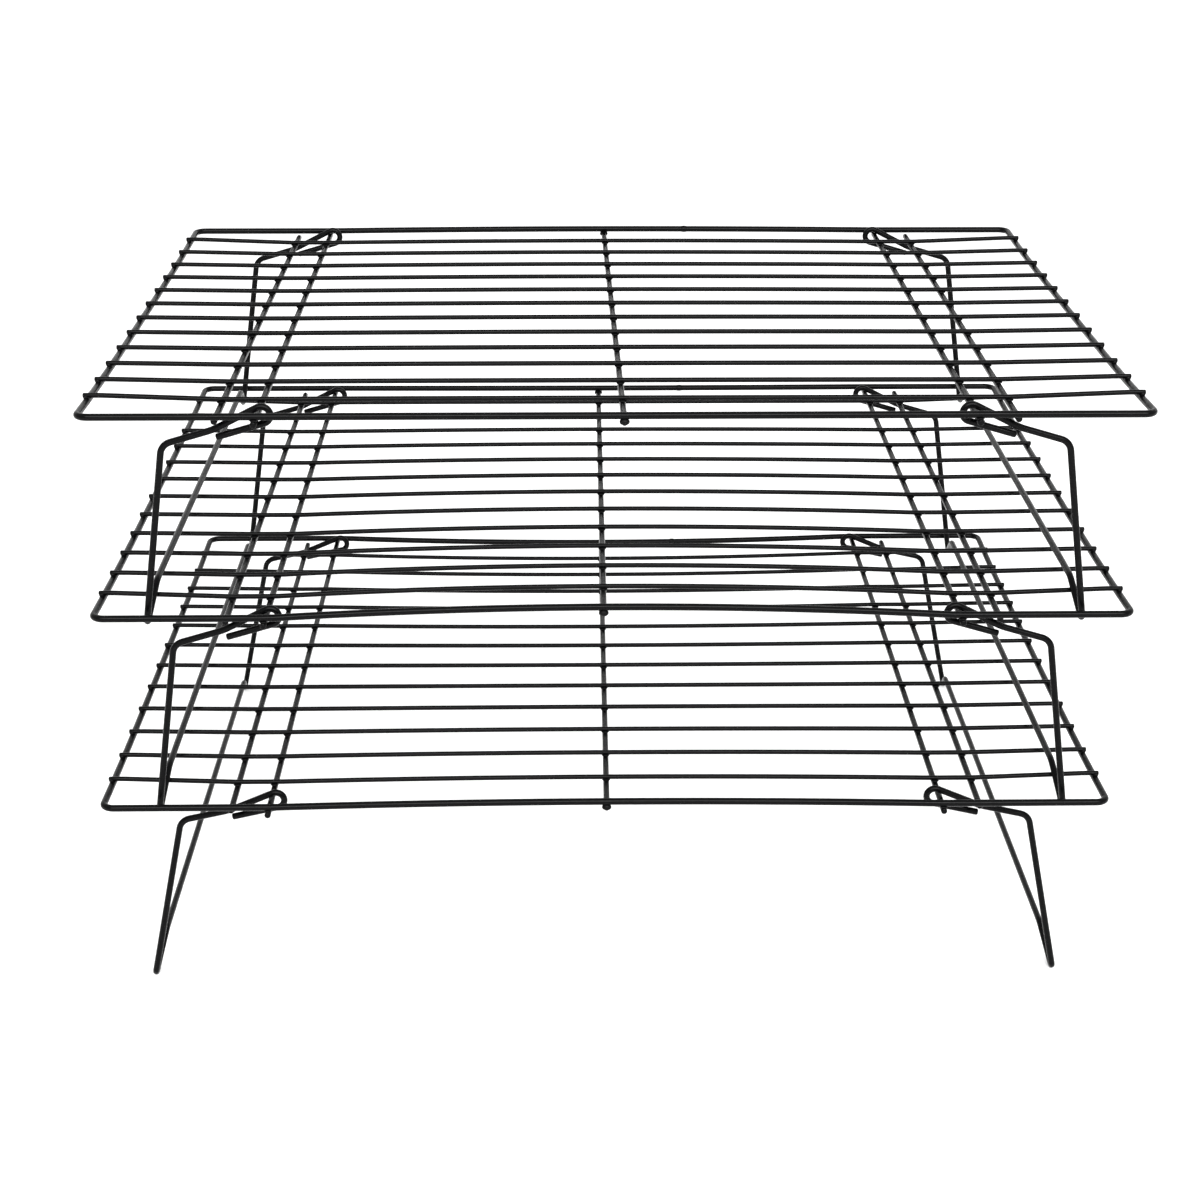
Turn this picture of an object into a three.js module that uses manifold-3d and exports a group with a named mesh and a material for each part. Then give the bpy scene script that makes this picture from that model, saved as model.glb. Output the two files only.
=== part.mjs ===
// A stack of three wire cooling racks. Each rack is a welded grid with a folding leg at either end,
// and each upper rack stands with its feet on the grid of the rack below.
// Millimetres, +Z up, +X along the long wires, origin on the table under the middle of the lower rack.
import * as THREE from "three";
import { mergeVertices } from "three/addons/utils/BufferGeometryUtils.js";
import Module from "manifold-3d";

const wasm = await Module();
wasm.setup();

// The grid, measured between the centres of the frame wire.
const rackLength = 400;
const rackDepth = 298;
const frameCorner = 4.5; // bend radius of the frame's four corners
const longWireCount = 12;
const longWireOverhang = 1.5; // how far a long wire's end passes the side of the frame
const shoulderX = 195; // a long wire lies on the side of the frame from here out,
const saddleX = 150; // and down on the cross wires from here in
const sideSag = 1.9; // the sides of the frame hang this much lower half way back
const pivotX = 134.5; // the cross wire that a leg turns on, from the middle of the rack
const stopX = 149.5; // the cross wire that a standing leg presses up against
const pivotOverhang = 2.4; // how far a pivot wire's end passes the frame
const centreOverhang = 1; // how far the centre wire's end passes it
const stopInset = 1.8; // how far a stop wire's end stays short of it

// Wire diameters.
const frameWire = 2.8;
const longWire = 2;
const crossWire = 2.5;
const legWire = 2.65;

// The leg, in the plane of the rack's frame: one wire from hook to hook.
const legInset = 6.5; // the hooks run this far inside the front and back of the frame
const hookEndX = 129.2; // centre of the wire at the round end of the hook
const hookRadius = 3.3;
const hookTop = 1.6; // height of the wire's centre at the top of the hook
const armSlope = 27; // degrees below level, from the hook out to the elbow
const elbowX = 151;
const elbowRadius = 20;
const kneeSlope = 16.5; // degrees below level, from the elbow out to the knee
const returnSlope = 16.5; // degrees below level, from the hook out to the cut end
const returnEndX = 149.8;
const kneeX = 170.5;
const kneeRadius = 5.5;
const toeX = 181.5;
const toeRadius = 2.2;
const toeDepth = 87.4; // from the frame's centre down to the sharp corner that the toe rounds off
const footRise = 12.4; // the foot bar lies this far above the toes' corners
const footRun = 18.8; // and starts this far in from them
const footRadius = 9;

// The stack. The sloping feet of a rack straddle the first and the last long wire of the rack below,
// which keep its legs a little short of their stops. The lower rack's legs are splayed out to theirs.
// A rack set down by hand sits a little off the one under it, its legs can slide along their pivot
// wires, and its grid bows up or down along the front and along the back. No centre wire is welded on
// quite true: each has its own x at the front and at the back.
const frameHeight = 83.45; // of the lower rack's frame: its toes are worn flat where the table is
const tierRise = 81.1;
const bowReach = 132; // the bow dies out at this distance from the middle
const racks = [
  { name: "lower", shift: [-1.8, -0.5], legSlide: 3.3, splay: 3.7, bow: [1.7, -2.8], centreX: [0, 3] },
  { name: "middle", shift: [0.8, 0.5], legSlide: -0.8, splay: 0, bow: [4, -0.3], centreX: [-4, -1] },
  { name: "upper", shift: [1.8, -0.5], legSlide: 0.8, splay: 0, bow: [0, 0.8], centreX: [2.5, 0.5] },
];

const wireSides = 8;
const roundArea = Math.sqrt((2 * Math.PI) / (wireSides * Math.sin((2 * Math.PI) / wireSides)));
const degree = Math.PI / 180;
const halfLength = rackLength / 2;
const halfDepth = rackDepth / 2;
const railTopZ = (frameWire + longWire) / 2; // a long wire on the side of the frame
const crossWireZ = -(frameWire + crossWire) / 2; // under the front and back of the frame
const gridZ = crossWireZ + (crossWire + longWire) / 2; // a long wire on the cross wires
const hookY = halfDepth - legInset;
const coating = { color: 0x17181a, roughness: 0.42, metalness: 0.25 };

// A curve that steps from point to point, so that a sweep has rings only where the wire needs them.
class WireCurve extends THREE.Curve {
  constructor(points) {
    super();
    this.points = points;
  }

  indexAt(u) {
    return Math.round(u * (this.points.length - 1));
  }

  getPointAt(u, target = new THREE.Vector3()) {
    return target.copy(this.points[this.indexAt(u)]);
  }

  // The direction half way between those of the two runs that meet at a point.
  getTangentAt(u, target = new THREE.Vector3()) {
    const index = this.indexAt(u);
    const here = this.points[index];
    const before = this.points[index - 1];
    const after = this.points[index + 1];
    target.set(0, 0, 0);
    if (before) target.add(here.clone().sub(before).normalize());
    if (after) target.add(after.clone().sub(here).normalize());
    return target.normalize();
  }
}

// A wire through the given points: a sweep of a polygon with a round wire's area and a flat on top.
function wireGeometry(points, diameter) {
  const section = new THREE.Shape();
  const radius = (diameter / 2) * roundArea;
  for (let side = 0; side < wireSides; side++) {
    const angle = ((side + 0.5) * 2 * Math.PI) / wireSides;
    const x = radius * Math.cos(angle);
    const y = radius * Math.sin(angle);
    if (side === 0) section.moveTo(x, y);
    else section.lineTo(x, y);
  }
  section.closePath();
  const extrudePath = new WireCurve(points);
  return new THREE.ExtrudeGeometry(section, { steps: points.length - 1, extrudePath });
}

// Points along a path of straight runs with rounded corners. Each corner is [x, y, z], with the bend's
// radius and its number of steps where it is rounded.
function bentPath(corners) {
  const path = [];
  corners.forEach(({ at, radius, steps }, index) => {
    const corner = new THREE.Vector3(...at);
    if (!radius) {
      path.push(corner);
      return;
    }
    const arriving = corner.clone().sub(new THREE.Vector3(...corners[index - 1].at)).normalize();
    const leaving = new THREE.Vector3(...corners[index + 1].at).sub(corner).normalize();
    const turn = arriving.angleTo(leaving);
    const start = corner.clone().addScaledVector(arriving, -radius * Math.tan(turn / 2));
    const inward = leaving.clone().addScaledVector(arriving, -arriving.dot(leaving)).normalize();
    for (let step = 0; step <= steps; step++) {
      const angle = (turn * step) / steps;
      path.push(
        start
          .clone()
          .addScaledVector(arriving, radius * Math.sin(angle))
          .addScaledVector(inward, radius * (1 - Math.cos(angle))),
      );
    }
  });
  return path;
}

// Evenly spaced corners from one point to another, both included.
function straightRun(from, to, pieces) {
  const start = new THREE.Vector3(...from);
  const end = new THREE.Vector3(...to);
  return Array.from({ length: pieces + 1 }, (_, i) => ({
    at: start.clone().lerp(end, i / pieces).toArray(),
  }));
}

// Lifts each point of a grid wire by the rack's bow, which is fullest half way along.
function bowed(points, rack) {
  const [front, back] = rack.bow;
  points.forEach((point) => {
    const along = Math.max(0, 1 - (point.x / bowReach) ** 2);
    const wayBack = 0.5 + point.y / rackDepth;
    point.z += along * (front * (1 - wayBack) + back * wayBack);
  });
  return points;
}

// Height of the sides of the frame, which drop a little from each corner and hang between them.
function sideZ(y) {
  return -sideSag * Math.max(0, 1 - (y / (halfDepth - frameCorner)) ** 4);
}

// Where a long wire lies, from the first one at the back to the last one at the front.
function longWireY(index) {
  return halfDepth - (rackDepth * (index + 1)) / (longWireCount + 1);
}

// A geometry as a manifold-3d solid, and back.
function toSolid(geometry) {
  const bare = geometry.clone();
  bare.deleteAttribute("normal");
  bare.deleteAttribute("uv");
  const merged = mergeVertices(bare);
  return new wasm.Manifold(
    new wasm.Mesh({
      numProp: 3,
      vertProperties: merged.attributes.position.array,
      triVerts: new Uint32Array(merged.index.array),
    }),
  );
}

function fromSolid(solid) {
  const { vertProperties, triVerts } = solid.getMesh();
  const geometry = new THREE.BufferGeometry();
  geometry.setAttribute("position", new THREE.BufferAttribute(vertProperties, 3));
  geometry.setIndex(new THREE.BufferAttribute(triVerts, 1));
  geometry.computeVertexNormals();
  return geometry;
}

// The rack's outer frame: one wire bent into a rectangle, its ends joined by a weld in the back.
function frameGeometry(rack) {
  const weldX = 40;
  const weldGap = 0.2;
  const weldLength = 3;
  const weldBulge = 0.2;
  const x = halfLength;
  const y = halfDepth;
  const corner = (cornerX, cornerY) => ({ at: [cornerX, cornerY, 0], radius: frameCorner, steps: 4 });
  const sideRun = (side, direction) =>
    Array.from({ length: longWireCount }, (_, index) => {
      const sideY = -direction * longWireY(index);
      return { at: [side * x, sideY, sideZ(sideY)] };
    });
  const bowRun = (side, direction) =>
    straightRun([-direction * bowReach, side * y, 0], [direction * bowReach, side * y, 0], 8);
  const backRun = bowRun(1, -1);
  const beforeWeld = backRun.filter(({ at }) => at[0] > weldX);
  const afterWeld = backRun.filter(({ at }) => at[0] < weldX);
  const path = bentPath([
    { at: [weldX - weldGap / 2, y, 0] },
    ...afterWeld,
    corner(-x, y),
    ...sideRun(-1, -1),
    corner(-x, -y),
    ...bowRun(-1, 1),
    corner(x, -y),
    ...sideRun(1, 1),
    corner(x, y),
    ...beforeWeld,
    { at: [weldX + weldGap / 2, y, 0] },
  ]);
  const loop = wireGeometry(bowed(path, rack), frameWire);
  const weldPath = bentPath(straightRun([weldX - weldLength / 2, y, 0], [weldX + weldLength / 2, y, 0], 1));
  const weld = wireGeometry(bowed(weldPath, rack), frameWire + 2 * weldBulge);
  return fromSolid(toSolid(loop).add(toSolid(weld)));
}

// One of the wires that carry the baking: its ends lie on the sides of the frame, and between them
// it dips a little onto the cross wires.
function longWireGeometry(rack, index) {
  const y = longWireY(index);
  const end = halfLength + longWireOverhang;
  const endZ = railTopZ + sideZ(y);
  const path = bentPath([
    { at: [-end, y, endZ] },
    { at: [-shoulderX, y, endZ], radius: 40, steps: 2 },
    { at: [-saddleX, y, gridZ], radius: 40, steps: 2 },
    ...straightRun([-bowReach, y, gridZ], [bowReach, y, gridZ], 6),
    { at: [saddleX, y, gridZ], radius: 40, steps: 2 },
    { at: [shoulderX, y, endZ], radius: 40, steps: 2 },
    { at: [end, y, endZ] },
  ]);
  return wireGeometry(bowed(path, rack), longWire);
}

// A wire across the underside of the grid and of the front and back of the frame.
function crossWireGeometry(rack, [frontX, backX], endY) {
  const path = bentPath(straightRun([frontX, -endY, crossWireZ], [backX, endY, crossWireZ], 1));
  return wireGeometry(bowed(path, rack), crossWire);
}

// Corners of the front half of a leg at the +X end, from the foot bar up to the cut end of the hook.
function halfLegCorners() {
  const armTilt = armSlope * degree;
  const returnTilt = returnSlope * degree;
  const hookCentreX = hookEndX + hookRadius;
  const hookCentreZ = hookTop - hookRadius;
  const armZ = (x) => hookCentreZ + hookRadius / Math.cos(armTilt) - (x - hookCentreX) * Math.tan(armTilt);
  const returnZ = (x) =>
    hookCentreZ - hookRadius / Math.cos(returnTilt) - (x - hookCentreX) * Math.tan(returnTilt);
  const kneeZ = armZ(elbowX) - (kneeX - elbowX) * Math.tan(kneeSlope * degree);
  const lean = (toeX - kneeX) / (toeDepth + kneeZ);
  return [
    { at: [toeX - footRise * lean, -(hookY - footRun), footRise - toeDepth], radius: footRadius, steps: 2 },
    { at: [toeX, -hookY, -toeDepth], radius: toeRadius, steps: 5 },
    { at: [kneeX, -hookY, kneeZ], radius: kneeRadius, steps: 4 },
    { at: [elbowX, -hookY, armZ(elbowX)], radius: elbowRadius, steps: 2 },
    { at: [hookEndX, -hookY, armZ(hookEndX)], radius: hookRadius, steps: 5 },
    { at: [hookEndX, -hookY, returnZ(hookEndX)], radius: hookRadius, steps: 4 },
    { at: [returnEndX, -hookY, returnZ(returnEndX)] },
  ];
}

// A leg at the +X end: down from a hook on the pivot wire, along the foot bar and up to the other hook.
// It is turned outward on its pivot wire by the rack's splay, and slid along it.
function legGeometry(rack, tier, sign) {
  const front = halfLegCorners();
  const back = front.map(({ at: [x, y, z], ...bend }) => ({ at: [x, -y, z], ...bend }));
  const leg = wireGeometry(bentPath([...back.reverse(), ...front]), legWire);
  leg.translate(-pivotX, 0, -crossWireZ);
  leg.rotateY(-rack.splay * degree);
  leg.translate(pivotX, sign * rack.legSlide, crossWireZ);
  leg.rotateZ(sign > 0 ? 0 : Math.PI);
  if (tier > 0) return leg;
  const ground = new THREE.BoxGeometry(3 * rackLength, 3 * rackDepth, 20);
  ground.translate(0, 0, -frameHeight - 10);
  return fromSolid(toSolid(leg).subtract(toSolid(ground)));
}

function namedMesh(name, geometry) {
  const mesh = new THREE.Mesh(geometry, new THREE.MeshStandardMaterial(coating));
  mesh.name = name;
  return mesh;
}

function buildRack(rack, tier) {
  const group = new THREE.Group();
  const add = (name, geometry) => group.add(namedMesh(`${rack.name}_${name}`, geometry));
  add("frame", frameGeometry(rack));
  for (let index = 0; index < longWireCount; index++) {
    add(`long_wire_${String(index + 1).padStart(2, "0")}`, longWireGeometry(rack, index));
  }
  add("centre_wire", crossWireGeometry(rack, rack.centreX, halfDepth + centreOverhang));
  for (const [side, sign] of [["left", -1], ["right", 1]]) {
    const pivotEnds = [sign * pivotX, sign * pivotX];
    const stopEnds = [sign * stopX, sign * stopX];
    add(`${side}_pivot_wire`, crossWireGeometry(rack, pivotEnds, halfDepth + pivotOverhang));
    add(`${side}_stop_wire`, crossWireGeometry(rack, stopEnds, halfDepth - stopInset));
    add(`${side}_leg`, legGeometry(rack, tier, sign));
  }
  group.position.set(...rack.shift, frameHeight + tier * tierRise);
  return group;
}

const stack = new THREE.Group();
racks.forEach((rack, tier) => stack.add(buildRack(rack, tier)));

export default stack;
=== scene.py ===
"""Three wire cooling racks with folding legs, stacked on a white studio floor."""

import math

import bmesh
import bpy
from mathutils import Matrix, Vector


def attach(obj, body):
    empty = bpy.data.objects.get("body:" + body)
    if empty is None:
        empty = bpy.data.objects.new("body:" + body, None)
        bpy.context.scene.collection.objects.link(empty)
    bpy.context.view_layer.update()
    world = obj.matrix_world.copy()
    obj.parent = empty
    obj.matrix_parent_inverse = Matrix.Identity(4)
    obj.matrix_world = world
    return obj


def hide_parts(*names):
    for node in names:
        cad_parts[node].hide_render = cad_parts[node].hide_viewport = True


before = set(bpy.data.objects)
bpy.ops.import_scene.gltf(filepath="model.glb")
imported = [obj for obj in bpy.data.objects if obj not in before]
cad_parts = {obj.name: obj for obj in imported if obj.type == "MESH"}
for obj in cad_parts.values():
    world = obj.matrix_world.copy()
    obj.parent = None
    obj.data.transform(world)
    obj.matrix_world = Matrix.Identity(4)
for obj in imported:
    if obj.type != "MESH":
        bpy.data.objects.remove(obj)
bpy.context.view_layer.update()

MM = 0.001

# The grid, in millimetres, measured between the centres of the frame wire.
RACK_LENGTH = 400
RACK_DEPTH = 298
FRAME_CORNER = 4.5
LONG_WIRES = 12
LONG_OVERHANG = 1.5
SHOULDER_X = 195
SADDLE_X = 150
SADDLE_RADIUS = 40
SIDE_SAG = 1.9
PIVOT_X = 134.5
STOP_X = 149.5
PIVOT_OVERHANG = 2.4
CENTRE_OVERHANG = 1
STOP_INSET = 1.8
SET_DOWN = 0.3  # welding presses the long wires this far into the sides of the frame

# Wire diameters, and how far in from a cut end its edge is rounded.
FRAME_WIRE = 2.8
LONG_WIRE = 2
CROSS_WIRE = 2.5
LEG_WIRE = 2.65
LONG_ROUNDING = 0.5
CROSS_ROUNDING = 0.6
LEG_ROUNDING = 0.5

# Weld beads: half their size along x, y and z.
CROSSING_BEAD = (1.7, 1.6, 0.55)
SIDE_BEAD = (1.15, 1.3, 1.1)
PIVOT_BEAD = (1.6, 1.7, 0.6)
CENTRE_BEAD = (2.0, 1.5, 1.45)
SIDE_BEAD_OUT = 0.3  # outward from the centre of the frame wire
CENTRE_BEAD_OUT = 0.15  # likewise
CENTRE_BEAD_RISE = 0.3  # upward from the centre of the cross wire

# The butt weld that closes the frame: its place along the back, and how far it swells along its length.
BUTT_WELD_X = 40
BUTT_WELD_STEP = 0.5
BUTT_WELD_SWELL = (-0.05, 0.1, 0.17, 0.19, 0.17, 0.1, -0.05)

# The leg, from the hook to the foot bar. Heights are from the centre of the frame wire, but the foot bar's
# rise is from the toe.
LEG_INSET = 6.5
HOOK_END_X = 129.2
HOOK_RADIUS = 3.3
HOOK_TOP = 1.6
ARM_SLOPE = math.radians(27)
ELBOW_X = 151
ELBOW_RADIUS = 20
KNEE_SLOPE = math.radians(16.5)
RETURN_SLOPE = math.radians(16.5)
RETURN_END_X = 149.8
KNEE_X = 170.5
KNEE_RADIUS = 5.5
TOE_X = 181.5
TOE_RADIUS = 2.2
TOE_DEPTH = 87.4
FOOT_RISE = 12.4
FOOT_RUN = 18.8
FOOT_RADIUS = 9

# The stack.
FRAME_HEIGHT = 83.45
TIER_RISE = 81.1
BOW_REACH = 132  # from the middle to where the bow fades out

# Each rack's place in the stack, how far its legs have slid along their pivot wires and how many degrees
# they lean out, and its bow and the x of its centre wire, both at the front and at the back.
RACKS = [
    {"name": "lower", "tier": 0, "shift": (-1.8, -0.5), "slide": 3.3, "splay": 3.7,
     "bow": (1.7, -2.8), "centre_x": (0, 3)},
    {"name": "middle", "tier": 1, "shift": (0.8, 0.5), "slide": -0.8, "splay": 0,
     "bow": (4, -0.3), "centre_x": (-4, -1)},
    {"name": "upper", "tier": 2, "shift": (1.8, -0.5), "slide": 0.8, "splay": 0,
     "bow": (0, 0.8), "centre_x": (2.5, 0.5)},
]

HALF_LENGTH = RACK_LENGTH / 2
HALF_DEPTH = RACK_DEPTH / 2
RAIL_TOP_Z = (FRAME_WIRE + LONG_WIRE) / 2
CROSS_Z = -(FRAME_WIRE + CROSS_WIRE) / 2
GRID_Z = CROSS_Z + (CROSS_WIRE + LONG_WIRE) / 2
HOOK_Y = HALF_DEPTH - LEG_INSET

WIRE_SIDES = 20
BEND_STEP = math.radians(7)  # a bend has a ring at least this often
RUN_STEP = 6  # and a straight run at least every so many millimetres


def bent_path(corners):
    """Points along straight runs with rounded corners: each corner is (point, bend radius or 0)."""
    runs = []
    for index, (corner, radius) in enumerate(corners):
        corner = Vector(corner)
        if not radius:
            runs.append([corner])
            continue
        arriving = (corner - Vector(corners[index - 1][0])).normalized()
        leaving = (Vector(corners[index + 1][0]) - corner).normalized()
        turn = arriving.angle(leaving)
        start = corner - arriving * radius * math.tan(turn / 2)
        inward = (leaving - arriving * arriving.dot(leaving)).normalized()
        steps = max(2, math.ceil(turn / BEND_STEP))
        run = []
        for step in range(steps + 1):
            angle = turn * step / steps
            run.append(start + radius * (arriving * math.sin(angle) + inward * (1 - math.cos(angle))))
        runs.append(run)
    path = [runs[0][0]]
    for run in runs:
        here, there = path[-1], run[0]
        pieces = math.ceil((there - here).length / RUN_STEP)
        path += [here.lerp(there, i / pieces) for i in range(1, pieces + 1)]
        path += run[1:]
    return path


def bow_of(rack, x, y):
    """How far the rack's bow lifts its grid at a point: most half way along the front and the back."""
    along = max(0.0, 1 - (x / BOW_REACH) ** 2)
    front, back = rack["bow"]
    way_back = 0.5 + y / RACK_DEPTH
    return along * (front * (1 - way_back) + back * way_back)


def bowed(path, rack):
    """The path with the rack's bow added to the height of every point."""
    return [point + Vector((0, 0, bow_of(rack, point.x, point.y))) for point in path]


def side_z(y):
    """Height of the sides of the frame, which drop a little from each corner and hang between them."""
    return -SIDE_SAG * max(0.0, 1 - (y / (HALF_DEPTH - FRAME_CORNER)) ** 4)


def long_wire_y(index):
    """Where a long wire lies, counted from the back, with the same gap all the way to the front."""
    return HALF_DEPTH - RACK_DEPTH * (index + 1) / (LONG_WIRES + 1)


def rounded_ends(path, radius, rounding):
    """The path with rings added at its two ends, and every ring's radius, so that a cut end is dressed."""
    angles = [math.radians(angle) for angle in (0, 30, 60, 90)]
    depths = [rounding * (1 - math.cos(angle)) for angle in angles]
    widths = [radius - rounding * (1 - math.sin(angle)) for angle in angles]
    inward = (path[1] - path[0]).normalized()
    outward = (path[-1] - path[-2]).normalized()
    head = [path[0] + inward * depth for depth in depths]
    tail = [path[-1] - outward * depth for depth in reversed(depths)]
    radii = widths + [radius] * (len(path) - 2) + widths[::-1]
    return head + path[1:-1] + tail, radii


def tube_into(mesh, path, radii, closed=False):
    """Sweeps a circle along the path, with no twist, into a bmesh."""
    count = len(path)
    tangents = []
    for index in range(count):
        before = path[index - 1] if closed or index else path[0]
        after = path[(index + 1) % count] if closed or index < count - 1 else path[-1]
        tangents.append((after - before).normalized())
    normal = tangents[0].orthogonal().normalized()
    rings = []
    for index in range(count):
        if index:
            normal.rotate(tangents[index - 1].rotation_difference(tangents[index]))
        normal = (normal - tangents[index] * normal.dot(tangents[index])).normalized()
        binormal = tangents[index].cross(normal)
        ring = []
        for side in range(WIRE_SIDES):
            angle = 2 * math.pi * side / WIRE_SIDES
            offset = normal * math.cos(angle) + binormal * math.sin(angle)
            ring.append(mesh.verts.new((path[index] + offset * radii[index]) * MM))
        rings.append(ring)
    pairs = list(zip(rings, rings[1:]))
    if closed:
        pairs.append((rings[-1], best_match(rings[0], rings[-1])))
    for ring, following in pairs:
        for side in range(WIRE_SIDES):
            across = (side + 1) % WIRE_SIDES
            mesh.faces.new((ring[side], ring[across], following[across], following[side]))
    if not closed:
        mesh.faces.new(list(reversed(rings[0])))
        mesh.faces.new(rings[-1])


def best_match(ring, target):
    """The ring, started at the vertex nearest to the target ring's first."""
    start = min(range(len(ring)), key=lambda i: (ring[i].co - target[0].co).length)
    return ring[start:] + ring[:start]


def bead_into(mesh, centre, size):
    """A flattened blob of weld metal, where two wires cross."""
    made = bmesh.ops.create_icosphere(mesh, subdivisions=2, radius=1)
    place = Matrix.Translation(Vector(centre) * MM) @ Matrix.Diagonal((*(Vector(size) * MM), 1))
    for vert in made["verts"]:
        vert.co = place @ vert.co


def finish_piece(name, mesh, rack, body, nodes, material):
    """Turns a bmesh in the rack's frame into a piece that rides on a body."""
    height = FRAME_HEIGHT + rack["tier"] * TIER_RISE
    bmesh.ops.translate(mesh, vec=Vector((*rack["shift"], height)) * MM, verts=mesh.verts)
    bmesh.ops.recalc_face_normals(mesh, faces=mesh.faces)
    for face in mesh.faces:
        face.smooth = True
    data = bpy.data.meshes.new(name)
    mesh.to_mesh(data)
    mesh.free()
    piece = bpy.data.objects.new(name, data)
    bpy.context.collection.objects.link(piece)
    data.materials.append(material)
    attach(piece, body)
    if nodes:
        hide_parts(*nodes)


# Materials.


def node_of(tree, kind, **values):
    """A new shader node with some of its inputs set: an underscore in a name stands for a space."""
    node = tree.nodes.new(kind)
    for name, value in values.items():
        node.inputs[name.replace("_", " ")].default_value = value
    return node


def coated_wire(name, base, roughness, peel):
    """Satin black non-stick coating: a fine orange peel, with the gloss a little uneven along the wire.

    Its refractive index is low, so that the white studio leaves the wires' edges dark."""
    material = bpy.data.materials.new(name)
    material.use_nodes = True
    tree = material.node_tree
    shader = tree.nodes["Principled BSDF"]
    shader.inputs["Metallic"].default_value = 0.0
    shader.inputs["IOR"].default_value = 1.16
    coordinates = node_of(tree, "ShaderNodeTexCoord")

    cloud = node_of(tree, "ShaderNodeTexNoise", Scale=90.0, Detail=3.0)
    tree.links.new(coordinates.outputs["Object"], cloud.inputs["Vector"])
    dull, shiny = roughness + 0.08, roughness - 0.07
    gloss = node_of(tree, "ShaderNodeMapRange", From_Min=0.3, From_Max=0.7, To_Min=shiny, To_Max=dull)
    tree.links.new(cloud.outputs["Fac"], gloss.inputs["Value"])
    tree.links.new(gloss.outputs["Result"], shader.inputs["Roughness"])

    paler = [channel * 1.8 for channel in base]
    tint = node_of(tree, "ShaderNodeMixRGB", Color1=(*base, 1), Color2=(*paler, 1))
    tree.links.new(cloud.outputs["Fac"], tint.inputs["Fac"])
    tree.links.new(tint.outputs["Color"], shader.inputs["Base Color"])

    grain = node_of(tree, "ShaderNodeTexNoise", Scale=1800.0, Detail=2.0)
    tree.links.new(coordinates.outputs["Object"], grain.inputs["Vector"])
    bump = node_of(tree, "ShaderNodeBump", Strength=peel, Distance=0.00006)
    tree.links.new(grain.outputs["Fac"], bump.inputs["Height"])
    tree.links.new(bump.outputs["Normal"], shader.inputs["Normal"])
    return material


COATING = coated_wire("satin_black_coating", (0.0008, 0.0008, 0.0009), 0.25, 0.35)
WELD_COATING = coated_wire("coating_over_weld", (0.0012, 0.0012, 0.0013), 0.40, 0.9)


# The pieces of a rack, in the rack's own frame.


def butt_weld_into(mesh, rack):
    """A short swelling round the frame wire, where its two ends meet."""
    middle = (len(BUTT_WELD_SWELL) - 1) / 2
    along = [BUTT_WELD_X + BUTT_WELD_STEP * (index - middle) for index in range(len(BUTT_WELD_SWELL))]
    path = [Vector((x, HALF_DEPTH, bow_of(rack, x, HALF_DEPTH))) for x in along]
    tube_into(mesh, path, [FRAME_WIRE / 2 + swell for swell in BUTT_WELD_SWELL])


def make_frame(rack):
    """One wire bent into a rectangle, its ends butted together and welded at the back."""
    x, y = HALF_LENGTH, HALF_DEPTH
    side_y = [long_wire_y(index) for index in range(LONG_WIRES)]
    corners = [((0, y, 0), 0), ((-x, y, 0), FRAME_CORNER)]
    corners += [((-x, down, side_z(down)), 0) for down in side_y]
    corners += [((-x, -y, 0), FRAME_CORNER), ((x, -y, 0), FRAME_CORNER)]
    corners += [((x, -down, side_z(down)), 0) for down in side_y]
    corners += [((x, y, 0), FRAME_CORNER), ((0, y, 0), 0)]
    path = bowed(bent_path(corners)[:-1], rack)
    mesh = bmesh.new()
    tube_into(mesh, path, [FRAME_WIRE / 2] * len(path), closed=True)
    butt_weld_into(mesh, rack)
    node = f"{rack['name']}_frame"
    finish_piece(f"{node}_wire", mesh, rack, f"{rack['name']}_rack", [node], COATING)


def make_long_wire(rack, index):
    """One of the wires that carry the baking: on the sides of the frame, and down on the cross wires."""
    y = long_wire_y(index)
    end, end_z = HALF_LENGTH + LONG_OVERHANG, RAIL_TOP_Z - SET_DOWN + side_z(y)
    dip = [((SADDLE_X, y, GRID_Z), SADDLE_RADIUS), ((SHOULDER_X, y, end_z), SADDLE_RADIUS)]
    half = dip + [((end, y, end_z), 0)]
    other = [((-x, y, z), radius) for (x, y, z), radius in half]
    path = bowed(bent_path(other[::-1] + half), rack)
    mesh = bmesh.new()
    tube_into(mesh, *rounded_ends(path, LONG_WIRE / 2, LONG_ROUNDING))
    node = f"{rack['name']}_long_wire_{index + 1:02d}"
    finish_piece(f"{node}_round", mesh, rack, f"{rack['name']}_rack", [node], COATING)


def make_cross_wire(rack, name, front_x, back_x, end_y):
    """A wire across the underside of the grid and of the front and back of the frame."""
    path = bowed(bent_path([((front_x, -end_y, CROSS_Z), 0), ((back_x, end_y, CROSS_Z), 0)]), rack)
    mesh = bmesh.new()
    tube_into(mesh, *rounded_ends(path, CROSS_WIRE / 2, CROSS_ROUNDING))
    node = f"{rack['name']}_{name}"
    finish_piece(f"{node}_round", mesh, rack, f"{rack['name']}_rack", [node], COATING)


def hook_side_z(x, slope, sign):
    """Height of one of the two straight runs that leave the hook, at x."""
    centre_x, centre_z = HOOK_END_X + HOOK_RADIUS, HOOK_TOP - HOOK_RADIUS
    return centre_z + sign * HOOK_RADIUS / math.cos(slope) - (x - centre_x) * math.tan(slope)


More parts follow.
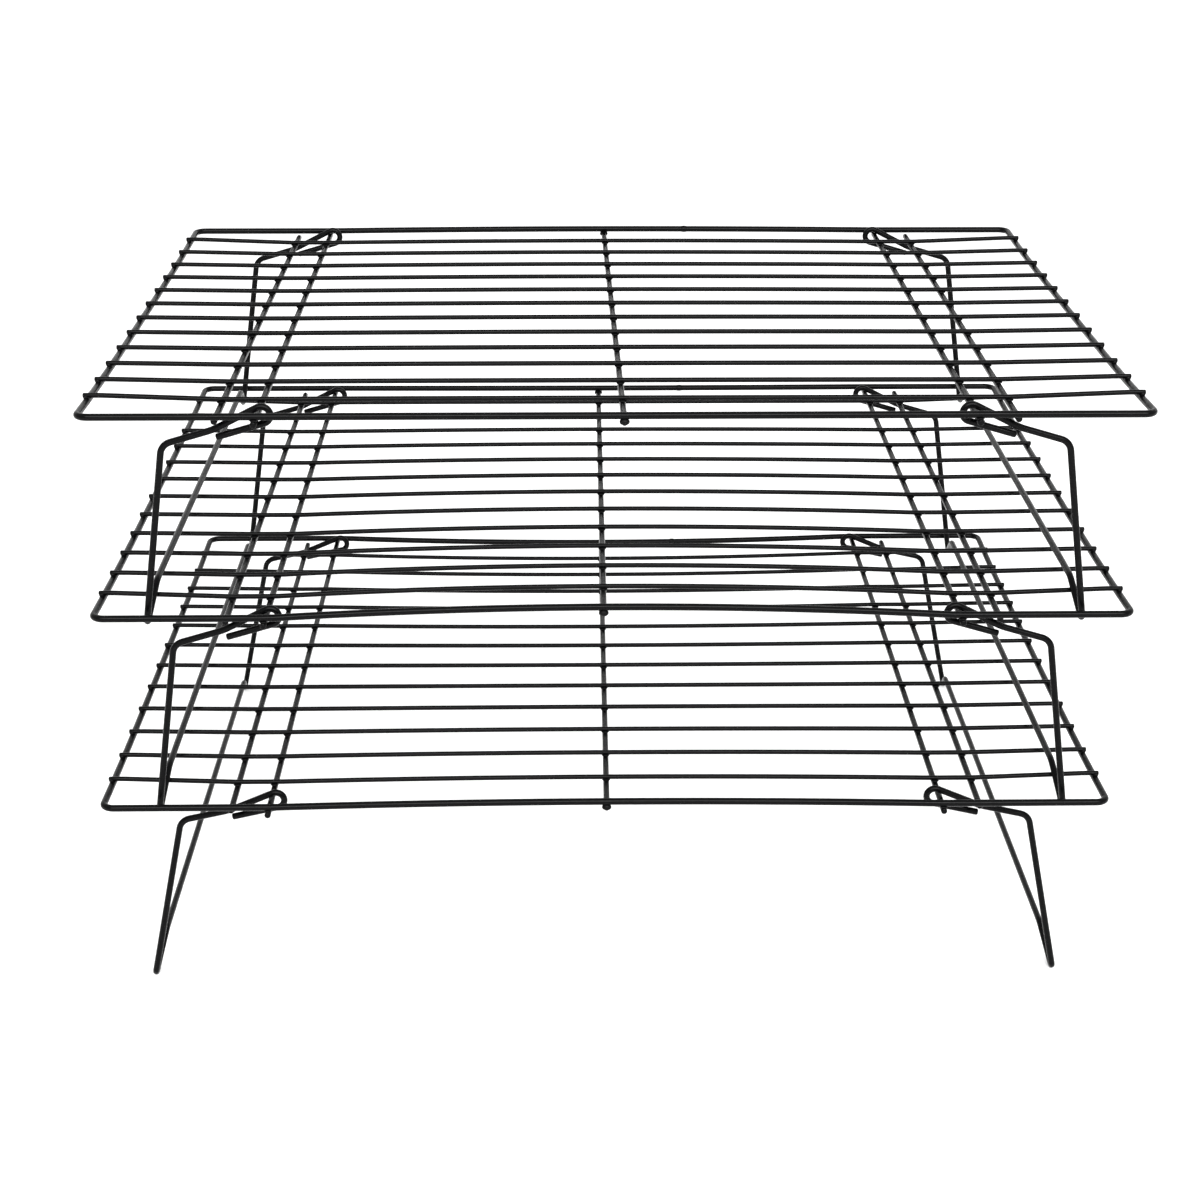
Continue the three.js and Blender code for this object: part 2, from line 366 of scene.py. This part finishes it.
def half_leg():
    """Corners of the front half of a leg at the +X end, from the foot bar up to the cut end of the hook."""
    elbow_z = hook_side_z(ELBOW_X, ARM_SLOPE, 1)
    knee_z = elbow_z - (KNEE_X - ELBOW_X) * math.tan(KNEE_SLOPE)
    lean = (TOE_X - KNEE_X) / (TOE_DEPTH + knee_z)
    return [
        ((TOE_X - FOOT_RISE * lean, -(HOOK_Y - FOOT_RUN), FOOT_RISE - TOE_DEPTH), FOOT_RADIUS),
        ((TOE_X, -HOOK_Y, -TOE_DEPTH), TOE_RADIUS),
        ((KNEE_X, -HOOK_Y, knee_z), KNEE_RADIUS),
        ((ELBOW_X, -HOOK_Y, elbow_z), ELBOW_RADIUS),
        ((HOOK_END_X, -HOOK_Y, hook_side_z(HOOK_END_X, ARM_SLOPE, 1)), HOOK_RADIUS),
        ((HOOK_END_X, -HOOK_Y, hook_side_z(HOOK_END_X, RETURN_SLOPE, -1)), HOOK_RADIUS),
        ((RETURN_END_X, -HOOK_Y, hook_side_z(RETURN_END_X, RETURN_SLOPE, -1)), 0),
    ]


def make_leg(rack, side):
    """One wire from hook to hook, splayed about its pivot wire and slid along it."""
    half = half_leg()
    other = [((x, -y, z), radius) for (x, y, z), radius in half]
    mesh = bmesh.new()
    tube_into(mesh, *rounded_ends(bent_path(other[::-1] + half), LEG_WIRE / 2, LEG_ROUNDING))
    pivot = Matrix.Translation(Vector((PIVOT_X, 0, CROSS_Z)) * MM)
    splay = pivot @ Matrix.Rotation(math.radians(-rack["splay"]), 4, "Y") @ pivot.inverted()
    turn = Matrix.Rotation(math.pi if side == "left" else 0, 4, "Z")
    slide = Matrix.Translation(Vector((0, rack["slide"], 0)) * MM)
    bmesh.ops.transform(mesh, matrix=slide @ turn @ splay, verts=mesh.verts)
    floor = -(FRAME_HEIGHT + rack["tier"] * TIER_RISE) * MM
    for vert in mesh.verts:  # the table cuts a small flat under each toe of the lower rack
        vert.co.z = max(vert.co.z, floor)
    node = f"{rack['name']}_{side}_leg"
    finish_piece(f"{node}_wire", mesh, rack, node, [node], COATING)


def centre_wire_x(rack, y):
    """Where the centre wire, which runs a little askew, is at y."""
    front, back = rack["centre_x"]
    return front + (back - front) * (0.5 + y / RACK_DEPTH)


def make_welds(rack):
    """The beads where wires cross: the fat ones are at the two ends of the centre wire."""
    mesh = bmesh.new()
    meeting_z = (CROSS_Z + GRID_Z) / 2
    for index in range(LONG_WIRES):
        y = long_wire_y(index)
        for x in (centre_wire_x(rack, y), -PIVOT_X, PIVOT_X, -STOP_X, STOP_X):
            bead_into(mesh, (x, y, meeting_z + bow_of(rack, x, y)), CROSSING_BEAD)
        for side in (-1, 1):
            end_x = side * (HALF_LENGTH + SIDE_BEAD_OUT)
            bead_into(mesh, (end_x, y, FRAME_WIRE / 2 + side_z(y)), SIDE_BEAD)
    for end in (-1, 1):
        y = end * HALF_DEPTH
        for x in (-PIVOT_X, PIVOT_X):
            bead_into(mesh, (x, y, -FRAME_WIRE / 2), PIVOT_BEAD)
        x = centre_wire_x(rack, y)
        z = CROSS_Z + CENTRE_BEAD_RISE + bow_of(rack, x, y)
        bead_into(mesh, (x, y + end * CENTRE_BEAD_OUT, z), CENTRE_BEAD)
    finish_piece(f"{rack['name']}_welds", mesh, rack, f"{rack['name']}_rack", [], WELD_COATING)


def make_rack(rack):
    """The twenty wires of one rack, and its welds."""
    make_frame(rack)
    for index in range(LONG_WIRES):
        make_long_wire(rack, index)
    make_cross_wire(rack, "centre_wire", *rack["centre_x"], HALF_DEPTH + CENTRE_OVERHANG)
    for side, sign in (("left", -1), ("right", 1)):
        pivot_x, stop_x = sign * PIVOT_X, sign * STOP_X
        make_cross_wire(rack, f"{side}_pivot_wire", pivot_x, pivot_x, HALF_DEPTH + PIVOT_OVERHANG)
        make_cross_wire(rack, f"{side}_stop_wire", stop_x, stop_x, HALF_DEPTH - STOP_INSET)
        make_leg(rack, side)
    make_welds(rack)


for rack in RACKS:
    make_rack(rack)


# The studio.


def studio_white():
    """Plain matt white for the floor."""
    material = bpy.data.materials.new("studio_white")
    material.use_nodes = True
    tree = material.node_tree
    shader = tree.nodes["Principled BSDF"]
    shader.inputs["Base Color"].default_value = (0.93, 0.93, 0.93, 1)
    shader.inputs["Roughness"].default_value = 0.9
    shader.inputs["Specular IOR Level"].default_value = 0.1
    return material


def make_floor():
    """A floor that sweeps up into a back wall a long way behind."""
    mesh = bmesh.new()
    wide, near, far, tall, sweep, steps = 6.0, -4.0, 3.0, 5.0, 1.5, 12
    profile = [(near, 0.0), (far - sweep, 0.0)]
    for step in range(1, steps + 1):
        angle = math.pi / 2 * step / steps
        profile.append((far - sweep + sweep * math.sin(angle), sweep * (1 - math.cos(angle))))
    profile.append((far, tall))
    rows = [[mesh.verts.new((x, y, z)) for x in (-wide, wide)] for y, z in profile]
    for low, high in zip(rows, rows[1:]):
        mesh.faces.new((low[0], low[1], high[1], high[0]))
    for face in mesh.faces:
        face.smooth = True
    data = bpy.data.meshes.new("studio_floor")
    mesh.to_mesh(data)
    mesh.free()
    floor = bpy.data.objects.new("studio_floor", data)
    data.materials.append(studio_white())
    bpy.context.collection.objects.link(floor)


def make_softbox(name, location, target, size, power):
    """A rectangular light that faces its target. Its reflection is the grey line along the wires."""
    light = bpy.data.lights.new(name, "AREA")
    light.shape = "RECTANGLE"
    light.size, light.size_y = size
    light.energy = power
    lamp = bpy.data.objects.new(name, light)
    lamp.location = location
    lamp.rotation_euler = (Vector(target) - Vector(location)).to_track_quat("-Z", "Y").to_euler()
    bpy.context.collection.objects.link(lamp)


def make_world():
    """White air all round, just bright enough for the floor to come out white as far as it goes."""
    world = bpy.data.worlds.new("studio_air")
    world.use_nodes = True
    background = world.node_tree.nodes["Background"]
    background.inputs["Color"].default_value = (1, 1, 1, 1)
    background.inputs["Strength"].default_value = 1.08
    bpy.context.scene.world = world
    bpy.context.scene.view_settings.view_transform = "Standard"


def make_camera():
    """Stands in front, a little left of the middle, and looks down at the stack."""
    camera = bpy.data.cameras.new("camera")
    camera.sensor_width = 36
    camera.lens = 66.33
    mount = bpy.data.objects.new("camera", camera)
    mount.location = (-0.0191, -0.9299, FRAME_HEIGHT * MM + 0.4130)
    down, heading, roll = math.radians(22.58), math.radians(1.06), math.radians(0.14)
    aim = Matrix.Rotation(-heading, 3, "Z") @ Matrix.Rotation(math.pi / 2 - down, 3, "X")
    mount.rotation_euler = (aim @ Matrix.Rotation(roll, 3, "Z")).to_euler()
    bpy.context.collection.objects.link(mount)
    bpy.context.scene.camera = mount


make_floor()
make_world()
make_softbox("front", (0.2, -2.0, 1.7), (0, 0, 0.1), (2.6, 0.8), 110)
make_camera()
